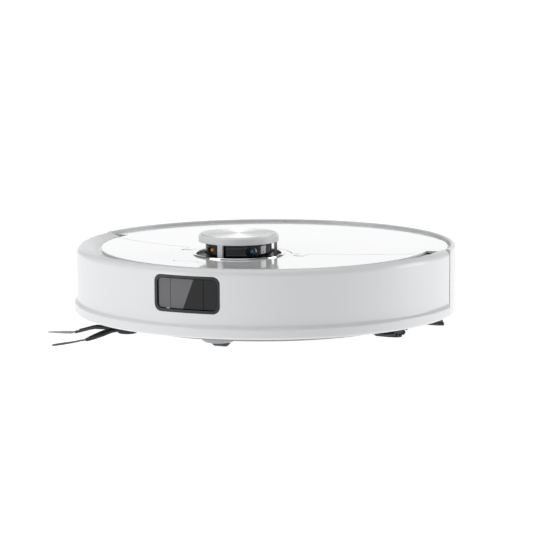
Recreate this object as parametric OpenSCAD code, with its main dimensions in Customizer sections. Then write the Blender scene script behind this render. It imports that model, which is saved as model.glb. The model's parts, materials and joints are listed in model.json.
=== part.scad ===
// Robot vacuum: a round floor robot with a laser turret, a sprung bumper, a lift-up lid,
// a side brush, a main brush, a dustbin and a wiping pad.
// +X is forwards, +Y is the robot's left and +Z is up. The origin is on the floor under the body.

/* [Body] */
// Radius of the upright side wall
wall_r = 174; // [173:0.25:175]
// Height of the rim that runs round the top
rim_z = 80; // [79.5:0.25:81]
// Height of the top skin of the front deck and the lid
deck_z = 77.5; // [77.3:0.1:77.7]
// Clearance between the floor and the flat underside
ground_z = 12.5; // [12.5:0.1:13]
// Thickness of the moulded skins
skin = 2; // [1.8:0.1:2.2]

/* [Bumper] */
// Half of the angle that the bumper wraps round the front
bumper_half = 94.5; // [92:0.5:95]
// How far the bumper stands clear of the wall at its skirt
skirt_out = 2.5; // [1.5:0.25:3]
// Width of the sensor window
window_w = 62; // [50:1:66]
// Height of the sensor window
window_h = 32.5; // [28:0.5:33]

/* [Turret] */
// Distance of the turret ahead of the middle
turret_x = 62; // [61:0.5:63]
// Radius of the cap on the turret
cap_r = 36; // [35:0.5:37]
// Height of the top of the turret
total_h = 96.5; // [96:0.1:98]
// Radius of the spinning head
head_r = 29.8; // [28:0.1:30]

/* [Wheels and brushes] */
// Radius of a drive wheel over its tyre
wheel_r = 35; // [34:0.5:35]
// Width of a drive wheel
wheel_w = 22; // [18:1:22]
// Distance between the middles of the two drive wheels
track = 244; // [242:1:246]
// Reach of the side brush from its axis
sweep_r = 78; // [60:1:80]
// Radius of the main brush over its fins
brush_r = 18; // [16:0.5:18]

/* [Hidden] */
$fn = 96;

// Heights and radii that the skins share
under_z = ground_z + 2.5;
deck_under = deck_z - skin;
deck_r = 151.5;
base_r = 163.5;
flat_r = 140;
rear_start = 95.5;
rear_lid_r = 167;
skirt_r = wall_r + skirt_out;
// The seam between the deck and the lid is an arc that bulges forwards
seam_r = 290;
seam_x = -245;
seam_gap = 0.8;
turret = [turret_x, 0];
// The lid turns on two pins ahead of the seam
hinge = [52, 73.6];
hinge_y = 55;
pin_r = 1.1;
// Window
window_z = 41;
bezel_r = 6.5;
// Wheels
wheel_y = track / 2;
pivot = [45, 38];
wheel_in = wheel_y - wheel_w / 2;
wheel_out = wheel_y + wheel_w / 2;
// Brushes, caster, dustbin, blower
side_at = [103, -92];
brush_at = [-8, 21];
caster_at = [106, 0];
caster_trail = 5;
caster_r = 12.5;
blower_at = [-88, 92];
bin_lo = [-138, -95];
bin_hi = [-42, 54];
bin_r = 135.7;
motor_at = [103, 28.7];
// Case screws: two pairs into the deck's posts, four into the tray's posts
deck_posts = [[126, 46], [126, -46], [58, 122], [58, -122]];
tray_posts = [[-60, -118], [-87, -102.5], [-48, 120], [-120, 62]];
cliff_at = [[129, 20], [129, -20], [68, 110], [27, 0]];
// Directions of the turret's first post, of the head's lenses and of the side brush's arms
post_turn = -5;
post_half = 4;
head_turn = 7;
lens_y = 18.5;
lens_z = 83;
lens_r = 4.2;
side_arms = [-31, -85];
// Pitch radii of the belt's two pulleys
head_pulley_r = 20;
motor_pulley_r = 5;
belt_gap = 0.3;

// A block from its lowest corner to its highest corner
module slab(lo, hi) {
    translate(lo) cube(hi - lo);
}

module disc(r, z1, z2, at = [0, 0]) {
    translate([at[0], at[1], z1]) cylinder(r = r, h = z2 - z1);
}

module ring(r1, r2, z1, z2, at = [0, 0]) {
    difference() {
        disc(r2, z1, z2, at);
        disc(r1, z1 - 1, z2 + 1, at);
    }
}

// A section of radius and height, swept from one angle to another
module swept(from, to) {
    rotate([0, 0, from]) rotate_extrude(angle = to - from) children();
}

// A round bar along Y, at a place in X and Z
module bar_y(r, y1, y2, at) {
    translate([at[0], y1, at[1]]) rotate([-90, 0, 0]) cylinder(r = r, h = y2 - y1);
}

// A long-sided outline with round ends, its length along Y
module pill_2d(length, width) {
    square([width, length - width], center = true);
    for (side = [-1, 1])
        translate([0, side * (length - width) / 2]) circle(d = width);
}

module rounded_2d(w, h, r) {
    square([w, h - 2 * r], center = true);
    square([w - 2 * r, h], center = true);
    for (i = [-1, 1], j = [-1, 1])
        translate([i * (w / 2 - r), j * (h / 2 - r)]) circle(r = r);
}

module both_sides() {
    children();
    mirror([0, 1, 0]) children();
}

// ---- Casing ----

// The floor pan, with openings for the wheels, the brushes, the caster and the battery
module base_plate() {
    color("dimgray") {
        difference() {
            rotate_extrude() polygon([[0, ground_z], [flat_r, ground_z], [base_r, 19],
                [base_r, 24], [base_r - 2.5, 24], [base_r - 2.5, 20.5], [flat_r - 1, under_z],
                [0, under_z]]);
            both_sides() slab([-41, 90, 0], [52, 139, 30]);
            // Grooves for the wiping pad's runners
            both_sides() slab([-165, 40, 0], [-74, 46, under_z - 0.9]);
            slab([-34, -86, 0], [20, 86, 30]);
            slab([34, -60, 0], [84, 60, 30]);
            disc(19, 0, 30, caster_at);
            disc(8, 0, 30, side_at);
            for (at = concat(deck_posts, tray_posts)) {
                disc(1.7, 0, 30, at);
                disc(3.3, 0, ground_z + 1.2, at);
            }
            for (at = cliff_at)
                translate(at) slab([-3.7, -8.2, 0], [3.7, 8.2, 30]);
        }
        both_sides() pivot_bracket();
        for (i = [28, 86], j = [-68, 68])
            disc(3, under_z, 45, [i, j]);
    }
}

// Two uprights that hold the pin on which a drive arm swings
module pivot_bracket() {
    for (y = [90, 109.4])
        difference() {
            union() {
                slab([52, y, under_z], [60, y + 2.2, 45]);
                slab([44, y, 31], [60, y + 2.2, 45]);
                bar_y(7, y, y + 2.2, pivot);
            }
            bar_y(2.5, y - 1, y + 4, pivot);
        }
}

module rear_shell() {
    inner_r = wall_r - 2.4;
    ledge_z = deck_under - 0.3;
    color("white") difference() {
        swept(rear_start, 360 - rear_start) polygon([[base_r + 0.2, 19], [172.6, 19],
            [wall_r, 20.4], [wall_r, rim_z - 1.6], [wall_r - 1.6, rim_z], [wall_r - 3.2, rim_z],
            [wall_r - 4.6, rim_z - 1.4], [wall_r - 4.6, ledge_z], [162, ledge_z],
            [162, ledge_z - 2], [inner_r, ledge_z - 2], [inner_r, 21.2], [166, 21.2],
            [166, 26], [161, 26], [161, 24], [base_r + 0.2, 24]]);
        // Exhaust slots beside the blower
        for (i = [0:9])
            rotate([0, 0, 128 + 2.6 * i]) slab([165, -1.2, 34], [180, 1.2, 62]);
        both_sides() slab([-180, 13.9, 25.9], [-171.9, 26.1, 31.1]);
    }
}

// The upright front wall that the bumper closes against
module front_inner_wall() {
    color("gray") difference() {
        swept(-93, 93) translate([base_r - 3, 24]) square([3, 49]);
        slab([140, -31, 40], [180, 31, 80]);
    }
}

module front_deck() {
    ear_y = [[47, 50.2], [59.8, 63]];
    color("white") {
        translate([0, 0, deck_under]) linear_extrude(skin) difference() {
            circle(deck_r);
            difference() {
                translate([seam_x, 0]) circle(seam_r + seam_gap, $fn = 256);
                translate(turret) circle(47.2);
            }
            translate(turret) circle(41);
            for (side = [-1, 1])
                translate([30, side * hinge_y - 5]) square([26.8, 10]);
            button_places() pill_2d(22.6, 9.6);
        }
        for (at = deck_posts)
            ring(1.5, 3.5, under_z, deck_under, at);
        both_sides() for (y = ear_y)
            difference() {
                slab([48, y[0], 69.5], [56, y[1], deck_under]);
                bar_y(pin_r, y[0] - 1, y[1] + 1, hinge);
            }
    }
}

// The three buttons stand in a shallow arc ahead of the turret
module button_places() {
    translate([124, 0]) children();
    for (side = [-1, 1])
        translate([121, side * 25]) children();
}

// Walls of the dustbin bay, and the deck that shows when the lid is open
module inner_tray() {
    color("silver") {
        difference() {
            union() {
                translate([0, 0, 71]) linear_extrude(2) union() {
                    intersection() {
                        circle(161.5);
                        translate([-170, -170]) square([152, 340]);
                    }
                    intersection() {
                        circle(142);
                        translate([-50, -150]) square([62, 300]);
                    }
                }
                translate([0, 0, under_z]) linear_extrude(60) bay_2d(2);
            }
            translate([0, 0, under_z - 1]) linear_extrude(70) bay_2d(0);
            slab([-45, -31, 19], [-30, 31, 41]);
            slab([-114, 50, 24], [-62, 62, 50]);
        }
        for (at = tray_posts)
            ring(1.5, 3.5, under_z, 71, at);
    }
}

module bay_2d(grow) {
    intersection() {
        translate(bin_lo - [1 + grow, 1 + grow])
            square(bin_hi - bin_lo + [2 + 2 * grow, 2 + 2 * grow]);
        circle(bin_r + 1 + grow);
    }
}

module lid_2d() {
    edge = 96.5;
    far = 300;
    difference() {
        intersection() {
            translate([seam_x, 0]) circle(seam_r, $fn = 256);
            union() {
                circle(deck_r);
                intersection() {
                    circle(rear_lid_r);
                    polygon([[0, 0], far * [cos(edge), sin(edge)], [-far, far], [-far, -far],
                        far * [cos(edge), -sin(edge)]]);
                }
            }
        }
        translate(turret) circle(48);
        // Finger hollow in the back edge, over the ledge of the rear shell
        translate([-rear_lid_r - 22, 0]) circle(26);
    }
}

module lid() {
    color("white") {
        translate([0, 0, deck_under]) linear_extrude(skin) lid_2d();
        swept(100, 260) translate([156, 73.5]) square([2, 2.2]);
        both_sides() difference() {
            union() {
                slab([36, hinge_y - 4.5, deck_under], [52, hinge_y + 4.5, deck_z]);
                bar_y(3.85, hinge_y - 4.5, hinge_y + 4.5, hinge);
            }
            bar_y(pin_r + 0.05, hinge_y - 6, hinge_y + 6, hinge);
        }
    }
}

module lid_hinge_pins() {
    color("silver") both_sides() bar_y(pin_r, 47, 63, hinge);
}

// ---- Bumper ----

module bumper_shell() {
    round_r = 6;
    inside = 2.2;
    top = rim_z - round_r;
    flange_z = deck_under - 0.6;
    outer_round = [for (a = [0:7.5:90]) [wall_r - round_r, top] + round_r * [cos(a), sin(a)]];
    inner_round = [for (a = [90:-15:0])
        [wall_r - round_r, top] + (round_r - inside) * [cos(a), sin(a)]];
    color("white") difference() {
        union() {
            swept(-bumper_half, bumper_half) polygon(concat(
                [[169, 20], [skirt_r - 2, 20], [skirt_r, 22], [skirt_r, 28], [wall_r, 31.8]],
                outer_round, [[154.5, flange_z], [147, flange_z], [147, flange_z - 2],
                [154.5, flange_z - 2]], inner_round, [[wall_r - inside, 22.2], [169, 22.2]]));
            // Pads that push the leaf springs
            for (a = [-32, 32])
                swept(a - 4, a + 4) translate([169.2, 44]) square([2.8, 10]);
        }
        window_block(window_w, window_h, 0);
        // The skirt stops short of the bumper's ends
        for (a = [-bumper_half - 1, bumper_half - 1.2])
            swept(a, a + 2.2) translate([wall_r, 19]) square([6, 12.7]);
    }
}

// A rounded rectangle that cuts through the front wall at the window
module window_block(w, h, move_y) {
    translate([160, move_y, window_z + window_h / 2]) rotate([90, 0, 90])
        linear_extrude(20) rounded_2d(w, h, bezel_r);
}

module window_bezel() {
    color("black") difference() {
        intersection() {
            ring(wall_r - 3.4, wall_r - 0.4, 30, 79);
            window_block(window_w - 0.1, window_h - 0.1, 0);
        }
        intersection() {
            ring(wall_r - 2.4, wall_r + 1, 30, 79);
            window_block(window_w - 6, window_h - 6, 0);
        }
        intersection() {
            disc(wall_r + 1, 30, 79);
            window_block(window_w - 9, window_h - 9, 0);
        }
    }
}

module window_glass() {
    color("darkslategray") intersection() {
        ring(wall_r - 2.4, wall_r - 0.8, 30, 79);
        window_block(window_w - 6.1, window_h - 6.1, 0);
    }
}

// Obstacle sensor behind the window: a block with two line emitters and a camera
module front_sensor() {
    color("black") {
        slab([148, -29, 44], [164, 29, 71]);
        for (y = [-20, 20])
            translate([164, y, 57]) rotate([0, 90, 0]) cylinder(r = 4, h = 2);
        translate([164, 0, 57]) rotate([0, 90, 0]) cylinder(r = 5.5, h = 3);
    }
}

module bumper_springs() {
    color("silver") for (a = [-32, 32]) {
        swept(a - 9, a - 7) translate([base_r, 46]) square([2.5, 6]);
        swept(a - 9, a + 7) translate([base_r + 2, 46]) square([0.6, 6]);
    }
}

module bumper_switches() {
    color("black") for (a = [-58, 58])
        rotate([0, 0, a]) {
            slab([base_r, -7, 44], [base_r + 3.6, 7, 51]);
            slab([base_r + 3.6, -5, 46], [base_r + 4.4, 7, 49]);
        }
}

// ---- Turret ----

module collar_ring() {
    color("gainsboro") translate(turret) rotate_extrude() polygon([[38.4, 76.5], [40.8, 76.5],
        [40.8, 78.2], [40.2, 78.8], [39, 78.8], [38.4, 78.2]]);
}

// Fixed can under the turret: it carries the bearing and the motor, and hangs from the deck
module lidar_base() {
    arm_a = atan2(motor_at[1], motor_at[0] - turret_x);
    color("black") difference() {
        union() {
            translate(turret) rotate_extrude() polygon([[4.05, 56], [7, 56], [7, 60], [38, 60],
                [38, 73.3], [46, 73.3], [46, deck_under], [40.6, deck_under], [40.6, 76.5],
                [13, 76.5], [13, 74.5], [36, 74.5], [36, 62.4], [4.05, 62.4]]);
            translate(turret) rotate([0, 0, arm_a]) slab([37, -12.5, 60], [62.2, 12.5, 62]);
        }
        disc(5.6, 50, 70, motor_at);
        // Way out for the belt
        translate(turret) rotate([0, 0, arm_a]) slab([30, -17, 65], [50, 17, 72]);
        for (i = [0:2])
            translate(turret) rotate([0, 0, post_turn + 120 * i])
                swept(-post_half - 1.2, post_half + 1.2)
                    translate([31.2, 74]) square([3.9, 4]);
    }
}

module lidar_motor() {
    color("silver") {
        disc(12, 38, 60, motor_at);
        disc(5.5, 60, 63, motor_at);
        disc(1, 63, 71, motor_at);
    }
}

module motor_pulley() {
    color("white") difference() {
        translate(motor_at) rotate_extrude() polygon([[0, 65.6], [6, 65.6], [6, 66.2],
            [motor_pulley_r, 66.6], [motor_pulley_r, 69.4], [6, 69.8], [6, 70.4], [0, 70.4]]);
        disc(1.05, 60, 75, motor_at);
    }
}

// Outline of the belt: an arc round each pulley, and straight runs that touch both
module belt_2d(grow) {
    span = motor_at - turret;
    d = norm(span);
    lean = acos((head_pulley_r - motor_pulley_r) / d);
    big = head_pulley_r + belt_gap + grow;
    small = motor_pulley_r + belt_gap + grow;
    translate(turret) rotate(atan2(span[1], span[0])) {
        circle(big);
        translate([d, 0]) circle(small);
        // The runs start a hair inside the arcs, so that the outlines cross cleanly
        for (side = [-lean, lean])
            polygon([[0, 0], (big - 0.02) * [cos(side), sin(side)],
                [d, 0] + (small - 0.02) * [cos(side), sin(side)], [d, 0]]);
    }
}

module lidar_belt() {
    color("black") translate([0, 0, 67]) linear_extrude(2) difference() {
        belt_2d(1);
        belt_2d(0);
    }
}

module lidar_head() {
    color("black") difference() {
        translate(turret) rotate_extrude() polygon([[0, 56], [4, 56], [4, 65], [19, 65],
            [21, 65.6], [21, 66.3], [head_pulley_r, 66.7], [head_pulley_r, 69.3], [21, 69.7],
            [21, 70.4], [12, 70.4],
            [12, 78], [head_r - 1, 78], [head_r, 79], [head_r, 87], [head_r - 1, 88], [0, 88]]);
        for (y = [-lens_y, lens_y])
            lens_rod(y, lens_r + 0.05, 20);
    }
}

// A rod that looks out of the head, at a distance to the side of its middle
module lens_rod(y, r, length) {
    translate(turret) rotate([0, 0, head_turn])
        translate([14, y, lens_z]) rotate([0, 90, 0]) cylinder(r = r, h = length);
}

module lidar_lenses() {
    color("goldenrod") lens_rod(-lens_y, lens_r, 8);
    color("steelblue") lens_rod(lens_y, lens_r, 8);
}

module turret_cap() {
    low = 89.6;
    top = total_h - 0.5;
    color("white") translate(turret) {
        rotate_extrude() polygon([[0, low], [cap_r, low], [cap_r, top - 1.4],
            [cap_r - 0.4, top - 0.4], [cap_r - 1.4, top], [0, top]]);
        for (i = [0:2])
            rotate([0, 0, post_turn + 120 * i]) swept(-post_half, post_half)
                translate([31.8, 68]) square([2.7, low - 67]);
    }
}

module turret_disc() {
    color("silver") disc(cap_r - 2, total_h - 0.5, total_h, turret);
}

// ---- Buttons and boards ----

module power_button() {
    button_cap([124, 0]);
}

module home_button() {
    button_cap([121, 25]);
}

module spot_button() {
    button_cap([121, -25]);
}

// A button cap with a wider foot under the deck, so it can't lift out
module button_cap(at) {
    color("white") translate([at[0], at[1], 72.8]) {
        linear_extrude(deck_z - 72.8) pill_2d(22, 9);
        linear_extrude(1.6) pill_2d(24, 11);
    }
}

module button_board() {
    color("green") slab([110, -40, 68], [134, 40, 69.6]);
    color("silver") for (at = [[124, 0], [121, 25], [121, -25]])
        translate(at) slab([-3, -3, 69.6], [3, 3, 71.6]);
}

module main_board() {
    color("green") slab([22, -74, 45], [90, 74, 46.6]);
    color("black") {
        slab([40, -20, 46.6], [60, 0, 48.6]);
        slab([40, 20, 46.6], [54, 34, 48.2]);
        slab([30, -66, 46.6], [80, -58, 54]);
    }
}

module battery() {
    color("steelblue") slab([35, -59, under_z + 0.2], [83, 59, 39]);
}

module battery_cover() {
    color("dimgray") difference() {
        slab([34.3, -59.7, ground_z + 0.1], [83.7, 59.7, under_z]);
        for (y = [-48, 48])
            slab([56, y - 4, 9], [62, y + 4, ground_z + 1.1]);
    }
}

module case_screws() {
    color("silver") for (at = concat(deck_posts, tray_posts)) {
        disc(3, ground_z + 0.1, ground_z + 1.2, at);
        disc(1.5, ground_z + 1.2, 24, at);
    }
}

module cliff_sensors() {
    color("black") for (at = cliff_at)
        translate(at) slab([-3.5, -8, ground_z + 0.3], [3.5, 8, 16]);
}

module charging_contacts() {
    color("gold") both_sides() slab([-wall_r, 14, 26], [-172, 26, 31]);
}

module speaker() {
    color("black") {
        disc(15, under_z, 20, [84, 88]);
        disc(9, 20, 26, [84, 88]);
    }
}

// ---- Drive wheels ----

// Swinging gearbox between the pivot and the axle
module drive_arm() {
    color("dimgray") difference() {
        union() {
            bar_y(8, 96, 109, pivot);
            bar_y(16, 96, 109, [0, wheel_r]);
            slab([0, 96, 28], [45, 109, 46]);
            slab([-6, 96, 40], [26, 109, 60]);
        }
        bar_y(2.55, 90, 112, pivot);
        bar_y(3.05, 98, 112, [0, wheel_r]);
    }
}

module drive_arm_left() {
    drive_arm();
}

module drive_arm_right() {
    mirror([0, 1, 0]) drive_arm();
}

module drive_hub() {
    color("gray") difference() {
        union() {
            bar_y(3, 98.5, wheel_in + 3, [0, wheel_r]);
            bar_y(26.5, wheel_in + 2, wheel_out - 2, [0, wheel_r]);
        }
        // Recessed face with six pockets
        bar_y(23, wheel_out - 4, wheel_out + 1, [0, wheel_r]);
        for (a = [0:60:300])
            translate([0, 0, wheel_r]) rotate([0, a, 0]) bar_y(5, wheel_out - 9, wheel_out, [15, 0]);
    }
}

module drive_hub_left() {
    drive_hub();
}

module drive_hub_right() {
    mirror([0, 1, 0]) drive_hub();
}

module drive_tyre() {
    lugs = 30;
    color("black") difference() {
        bar_y(wheel_r, wheel_in, wheel_out, [0, wheel_r]);
        bar_y(26.5, wheel_in - 1, wheel_out + 1, [0, wheel_r]);
        for (i = [0:lugs - 1])
            translate([0, wheel_y, wheel_r]) rotate([0, i * 360 / lugs, 0])
                translate([0, 0, wheel_r]) cube([3, wheel_w + 2, 4], center = true);
    }
}

module drive_tyre_left() {
    drive_tyre();
}

module drive_tyre_right() {
    mirror([0, 1, 0]) drive_tyre();
}

module pivot_pins() {
    color("silver") both_sides() bar_y(2.5, 90, 111.6, pivot);
}

module suspension_springs() {
    color("silver") both_sides() for (y = [93, 94.2, 95.2])
        translate([pivot[0], y, pivot[1]]) rotate([-90, 0, 0])
            rotate_extrude() translate([5, 0]) circle(d = 0.9, $fn = 24);
}

// ---- Caster ----

module caster_socket() {
    color("gray") difference() {
        union() {
            disc(21, under_z, 30.5, caster_at);
            disc(8, 30, 36, caster_at);
        }
        disc(19, under_z - 1, 28.4, caster_at);
        disc(4.05, 20, 40, caster_at);
    }
}

module caster_fork() {
    color("silver") translate(caster_at) difference() {
        union() {
            rotate_extrude() polygon([[0, 5.4], [13, 5.4], [15.4, 6.4], [17, 8.4], [17.4, 10.6],
                [17.4, 15], [0, 15]]);
            for (y = [-9.5, 6.8])
                slab([-16, y, 8], [6, y + 2.7, 28]);
            slab([-12, -9.5, 26], [6, 9.5, 28]);
            cylinder(r = 4, h = 35.5);
        }
        slab([-20, -6.8, -1], [9, 6.8, 26]);
        translate([0, 0, -1]) cylinder(r = 4.5, h = 20);
        bar_y(1.5, -12, 12, [-caster_trail, caster_r]);
    }
}

module caster_wheel() {
    color("black") translate(caster_at) {
        bar_y(caster_r, -6.4, 6.4, [-caster_trail, caster_r]);
        bar_y(1.45, -9.3, 9.3, [-caster_trail, caster_r]);
    }
}

// ---- Brushes ----

module side_brush_gearbox() {
    color("dimgray") translate(side_at) difference() {
        union() {
            translate([0, 0, 18]) cylinder(r = 6.5, h = 4);
            translate([-15, -14, 21.5]) cube([30, 28, 13]);
            translate([0, 0, 34.5]) cylinder(r = 10, h = 11);
        }
        cylinder(r = 3.05, h = under_z + 10);
    }
}

module side_brush_hub() {
    color("dimgray") translate(side_at) {
        translate([0, 0, 4.2]) cylinder(r = 9, h = 4.6);
        translate([0, 0, 8]) cylinder(r = 3, h = under_z + 1.5);
        translate([0, 0, 4.2]) linear_extrude(3) for (a = side_arms)
            rotate(a) polygon([[0, -5], [30, -2.6], [32, 0], [30, 2.6], [0, 5]]);
    }
}

module side_brush_bristles() {
    color("lightgray") translate(side_at) for (a = side_arms)
        rotate([0, 0, a]) translate([0, 0, 2.2]) linear_extrude(2)
            polygon([[20, -1], [42, -1.2], [58, -3.4], [66, -3.6], [sweep_r, -1],
                [sweep_r, 0.6], [66, 3.2], [58, 3], [42, 1.2], [20, 1]]);
}

// Half-round hood over the main brush, with a duct to the dustbin
module brush_housing() {
    color("dimgray") difference() {
        union() {
            slab([-32, -85.5, under_z], [18, 85.5, 43]);
            slab([-41, -31, 20], [-31, 31, 40]);
        }
        bar_y(brush_r + 2, -83, 83, brush_at);
        slab([-28, -83, 0], [12, 83, brush_at[1]]);
        slab([-45, -29, 22], [-20, 29, 38]);
        bar_y(2.55, -90, 90, brush_at);
    }
}

module brush_guard() {
    color("dimgray") difference() {
        slab([-38, -88, ground_z - 3], [24, 88, ground_z]);
        slab([-29, -83.5, 0], [13, 83.5, 20]);
    }
}

module brush_gearbox() {
    color("gray") {
        difference() {
            slab([-24, -91.5, under_z], [10, -85.5, 66]);
            bar_y(2.55, -90, -80, brush_at);
        }
        bar_y(11.5, -85.5, -44, [-8, 55]);
    }
}

module main_brush_core() {
    color("darkorange") {
        bar_y(8, -81.5, 81.5, brush_at);
        bar_y(2.5, -88.5, 85, brush_at);
    }
}

// Six straight rubber fins, set evenly round the core
module main_brush_fins() {
    color("black") translate([brush_at[0], 0, brush_at[1]]) difference() {
        for (i = [0:5])
            rotate([0, 60 * i, 0]) slab([-1.1, -80, 0], [1.1, 80, brush_r - 0.5]);
        bar_y(8, -90, 90, [0, 0]);
    }
}

// ---- Dustbin, filter and blower ----

module bin_2d(shrink) {
    intersection() {
        translate(bin_lo + [shrink, shrink]) square(bin_hi - bin_lo - [2 * shrink, 2 * shrink]);
        circle(bin_r - shrink);
    }
}

module dustbin_tub() {
    color("slategray") difference() {
        translate([0, 0, 16]) linear_extrude(42) bin_2d(0);
        translate([0, 0, 18]) linear_extrude(50) bin_2d(1.8);
        slab([-45, -29, 22], [-38, 29, 38]);
        slab([-112, 50, 26], [-64, 56, 48]);
    }
}

module dustbin_top() {
    color("dimgray") difference() {
        translate([0, 0, 58]) linear_extrude(12) bin_2d(0);
        // Finger hollows on both sides of a carrying bar
        for (y = [-43, -7])
            slab([-115, y, 62], [-65, y + 26, 75]);
    }
}

module filter() {
    pleats = 12;
    pitch = 46 / pleats;
    color("white") translate([-111, 40, 26]) linear_extrude(22) polygon(concat([[0, 0]],
        [for (i = [0:pleats - 1]) each [[pitch * i, 9], [pitch * (i + 0.5), 4]]],
        [[46, 9], [46, 0]]));
}

module filter_frame() {
    color("black") difference() {
        slab([-115, 37.6, 22], [-61, 50, 52]);
        slab([-111.2, 30, 25.8], [-64.8, 60, 48.2]);
    }
}

module blower_housing() {
    top = 62;
    low = 22;
    color("black") difference() {
        union() {
            disc(32, low, top, blower_at);
            slab([-112, 57, 26], [-64, 72, 48]);
            for (at = [[-72, 78], [-104, 78], [-72, 106]])
                disc(4, under_z, low + 1, at);
        }
        disc(29.5, low + 2, top - 2, blower_at);
        slab([-110, 50, 28], [-66, 80, 46]);
        rotate([0, 0, 134]) slab([140, -14, 34], [170, 14, 56]);
    }
    color("silver") disc(2.5, low, top - 4, blower_at);
}

module impeller() {
    low = 26;
    color("silver") translate([blower_at[0], blower_at[1], 0]) difference() {
        union() {
            translate([0, 0, low]) cylinder(r = 26, h = 2);
            translate([0, 0, low]) cylinder(r = 8, h = 26);
            for (i = [0:8])
                rotate([0, 0, 40 * i]) slab([7, -0.8, low + 1], [25.5, 0.8, low + 22]);
        }
        translate([0, 0, low - 1]) cylinder(r = 2.55, h = 40);
    }
}

// ---- Wiping pad ----

module mop_2d(front, r) {
    intersection() {
        circle(r);
        translate([-200, -200]) square([200 + front, 400]);
    }
}

module mop_bracket() {
    color("dimgray") {
        translate([0, 0, 5.3]) linear_extrude(ground_z - 5.7) mop_2d(-60, 163);
        both_sides() slab([-128, 40.5, ground_z - 1], [-76, 45.5, under_z - 1.2]);
    }
}

module mop_pad() {
    color("slategray") translate([0, 0, 0.3]) linear_extrude(5) mop_2d(-62, 165);
}

base_plate();
rear_shell();
front_inner_wall();
front_deck();
inner_tray();
lid();
lid_hinge_pins();
bumper_shell();
window_bezel();
window_glass();
front_sensor();
bumper_springs();
bumper_switches();
collar_ring();
lidar_base();
lidar_motor();
motor_pulley();
lidar_belt();
lidar_head();
lidar_lenses();
turret_cap();
turret_disc();
power_button();
home_button();
spot_button();
button_board();
main_board();
battery();
battery_cover();
case_screws();
cliff_sensors();
charging_contacts();
speaker();
drive_arm_left();
drive_arm_right();
drive_hub_left();
drive_hub_right();
drive_tyre_left();
drive_tyre_right();
pivot_pins();
suspension_springs();
caster_socket();
caster_fork();
caster_wheel();
side_brush_gearbox();
side_brush_hub();
side_brush_bristles();
brush_housing();
brush_guard();
brush_gearbox();
main_brush_core();
main_brush_fins();
dustbin_tub();
dustbin_top();
filter();
filter_frame();
blower_housing();
impeller();
mop_bracket();
mop_pad();
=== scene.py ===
# %% [markdown]
# # A robot vacuum, dressed for a studio picture
#
# The working model of the robot, with every part in its true place and size, comes in first and stays
# as it is. This script then gives each part its finish: soft edges on the mouldings, a rounded white
# bumper with a dark sensor window, a spun metal disc on the turret, treaded tyres, brush blades and a
# wiping pad. Everything is in metres, with +X forwards, +Y to the robot's left and +Z up.

# %% Load the robot
import json
import math
import random

import bmesh
import bpy
from mathutils import Matrix, Vector, noise


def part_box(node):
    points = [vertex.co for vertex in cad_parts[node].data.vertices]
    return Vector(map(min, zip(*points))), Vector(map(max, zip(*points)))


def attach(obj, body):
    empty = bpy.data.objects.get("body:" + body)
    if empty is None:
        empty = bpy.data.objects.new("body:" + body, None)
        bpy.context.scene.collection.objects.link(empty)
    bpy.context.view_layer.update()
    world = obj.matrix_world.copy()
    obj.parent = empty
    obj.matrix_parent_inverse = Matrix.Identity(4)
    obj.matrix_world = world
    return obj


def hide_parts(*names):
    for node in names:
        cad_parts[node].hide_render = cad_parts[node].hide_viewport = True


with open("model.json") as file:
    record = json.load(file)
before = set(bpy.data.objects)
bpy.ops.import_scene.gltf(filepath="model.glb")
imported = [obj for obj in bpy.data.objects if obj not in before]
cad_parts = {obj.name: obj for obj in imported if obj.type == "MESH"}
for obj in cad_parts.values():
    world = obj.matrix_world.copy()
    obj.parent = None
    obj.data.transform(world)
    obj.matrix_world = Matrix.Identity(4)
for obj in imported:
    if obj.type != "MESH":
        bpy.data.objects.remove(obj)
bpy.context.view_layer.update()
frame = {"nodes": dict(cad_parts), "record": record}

nodes = frame["nodes"]
MM = 0.001

# %% [markdown]
# ## The camera
#
# A long lens far away keeps the round body from looking swollen. The camera stands 23 degrees round
# from the robot's nose towards its left side and 9 degrees above the horizon. It is aimed a little
# off the body's middle instead of shifting the lens, so that other views frame well too.

# %% Place the camera
VIEW_TURN = math.radians(23.42)
VIEW_RISE = math.radians(8.85)
VIEW_ROLL = math.radians(-0.27)
VIEW_DISTANCE = 2.142
VIEW_LENS = 151.7
AIM_ASIDE = 8.0
AIM_UP = 9.4


def place_camera():
    """A long lens on the robot's front left."""
    back = Vector((math.cos(VIEW_TURN) * math.cos(VIEW_RISE),
                   math.sin(VIEW_TURN) * math.cos(VIEW_RISE), math.sin(VIEW_RISE)))
    right = Vector((-math.sin(VIEW_TURN), math.cos(VIEW_TURN), 0))
    up = back.cross(right)
    middle = Vector((0, 0, 40 * MM))
    aim = middle + right * AIM_ASIDE * MM + up * AIM_UP * MM
    lens = bpy.data.cameras.new("studio_lens")
    lens.lens = VIEW_LENS
    camera = bpy.data.objects.new("studio_camera", lens)
    bpy.context.scene.collection.objects.link(camera)
    camera.location = middle + back * VIEW_DISTANCE
    look = (aim - camera.location).to_track_quat("-Z", "Y")
    camera.rotation_euler = (look.to_matrix() @ Matrix.Rotation(VIEW_ROLL, 3, "Z")).to_euler()
    bpy.context.scene.camera = camera
    return camera


camera = place_camera()
print("camera at", [round(v, 3) for v in camera.location])

# %% [markdown]
# ## Selecting and finishing by code
#
# Blender's modelling operators act on whatever is selected, so each piece starts from an empty
# selection, and faces and edges are then picked by their place. These few helpers are used by the
# pieces below.

# %% Helpers for edit mode
def clear_selection():
    """Nothing selected, nothing active, in object mode."""
    if bpy.context.object and bpy.context.object.mode != "OBJECT":
        bpy.ops.object.mode_set(mode="OBJECT")
    bpy.ops.object.select_all(action="DESELECT")
    bpy.context.view_layer.objects.active = None


def only(piece):
    """Selects one piece and makes it active."""
    clear_selection()
    piece.select_set(True)
    bpy.context.view_layer.objects.active = piece
    return piece


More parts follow.
